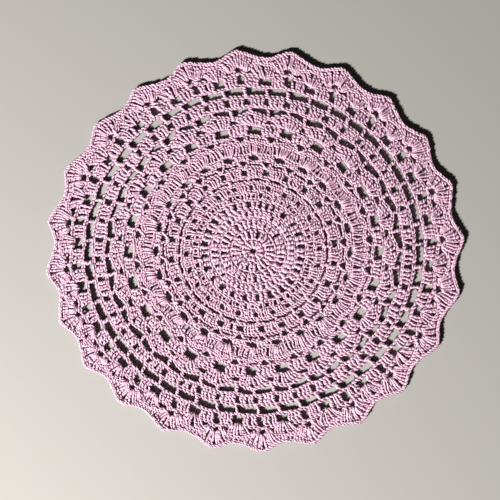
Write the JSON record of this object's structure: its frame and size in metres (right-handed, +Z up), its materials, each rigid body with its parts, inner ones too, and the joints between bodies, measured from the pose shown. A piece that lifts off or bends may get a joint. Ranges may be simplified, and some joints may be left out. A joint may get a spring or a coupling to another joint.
{
  "type": "placemat",
  "caption": "Round crocheted cotton placemat: a flat openwork sheet of concentric rounds with a scalloped rim, laid flat on a table.",
  "frame": {"origin": "middle of the mat's box, on its flat underside", "axes": "+X along the longer width, +Z up through the mat, right side up"},
  "size_m": [0.4066, 0.3918, 0.0042],
  "materials": {
    "cotton_yarn": "matt dusty pink cotton yarn"
  },
  "bodies": {
    "root": {"mat": "cotton_yarn"}
  },
  "joints": []
}
